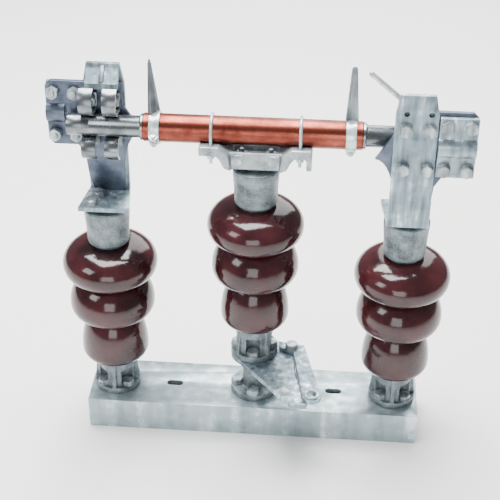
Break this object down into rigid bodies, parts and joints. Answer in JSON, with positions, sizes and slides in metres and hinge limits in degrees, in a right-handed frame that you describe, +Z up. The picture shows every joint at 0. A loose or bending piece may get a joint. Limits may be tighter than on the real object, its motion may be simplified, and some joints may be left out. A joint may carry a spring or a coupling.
{
  "type": "substation disconnect switch pole",
  "caption": "Centre-rotating double-break disconnect switch pole: three brown porcelain posts on a steel channel, with a copper blade, jaws, terminals and arcing horns.",
  "frame": {"origin": "centre of the base channel's top face, at the middle of the two fixing slots, on the turning post's axis", "axes": "+X along the channel to the right, +Y to the back, away from the lever, +Z up"},
  "size_m": [0.464, 0.153, 0.4834],
  "materials": {
    "galvanised_steel": "hot-dip galvanised, satin",
    "galvanised_casting": "galvanised malleable casting, rough",
    "brown_porcelain": "glossy brown glaze",
    "bolt_steel": "galvanised bolts and nuts",
    "cast_aluminium": "sand cast",
    "copper": "drawn copper tube, lightly tarnished",
    "tinned_contact": "tinned copper, satin",
    "horn_steel": "galvanised, dulled"
  },
  "bodies": {
    "frame": {"base_channel": "galvanised_steel", "bearing_housing": "galvanised_casting", "bearing_bolts": "bolt_steel", "left_post_base": "galvanised_casting", "left_post_porcelain": "brown_porcelain", "left_post_cap": "galvanised_casting", "left_post_bolts": "bolt_steel", "right_post_base": "galvanised_casting", "right_post_porcelain": "brown_porcelain", "right_post_cap": "galvanised_casting", "right_post_bolts": "bolt_steel", "left_jaw_spacer": "galvanised_steel", "left_jaw_bracket": "galvanised_steel", "left_terminal_plate": "tinned_contact", "left_clamp_plate": "cast_aluminium", "left_upper_fingers": "tinned_contact", "left_lower_fingers": "tinned_contact", "left_jaw_bolts": "bolt_steel", "right_jaw_spacer": "galvanised_steel", "right_jaw_bracket": "galvanised_steel", "right_terminal_plate": "tinned_contact", "right_clamp_plate": "cast_aluminium", "right_upper_fingers": "tinned_contact", "right_lower_fingers": "tinned_contact", "right_jaw_bolts": "bolt_steel", "right_fixed_horn": "horn_steel"},
    "rotor": {"turning_shaft": "galvanised_casting", "drive_lever": "galvanised_steel", "lever_strap": "galvanised_steel", "lever_bolts": "bolt_steel", "centre_post_base": "galvanised_casting", "centre_post_porcelain": "brown_porcelain", "centre_post_cap": "galvanised_casting", "centre_post_bolts": "bolt_steel", "cradle": "cast_aluminium", "cradle_bolts": "bolt_steel", "cradle_spacer": "galvanised_steel", "u_bolts": "bolt_steel", "blade_tube": "copper", "left_blade_contact": "tinned_contact", "right_blade_contact": "tinned_contact", "left_horn_clamp": "galvanised_steel", "left_horn": "horn_steel", "right_horn_clamp": "galvanised_steel", "right_horn": "horn_steel"}
  },
  "joints": [
    {"name": "post_turn", "type": "hinge", "parent": "frame", "child": "rotor", "pos_m": [0, 0, 0.02], "axis": [0, 0, 1], "range_deg": [0, 80]}
  ]
}
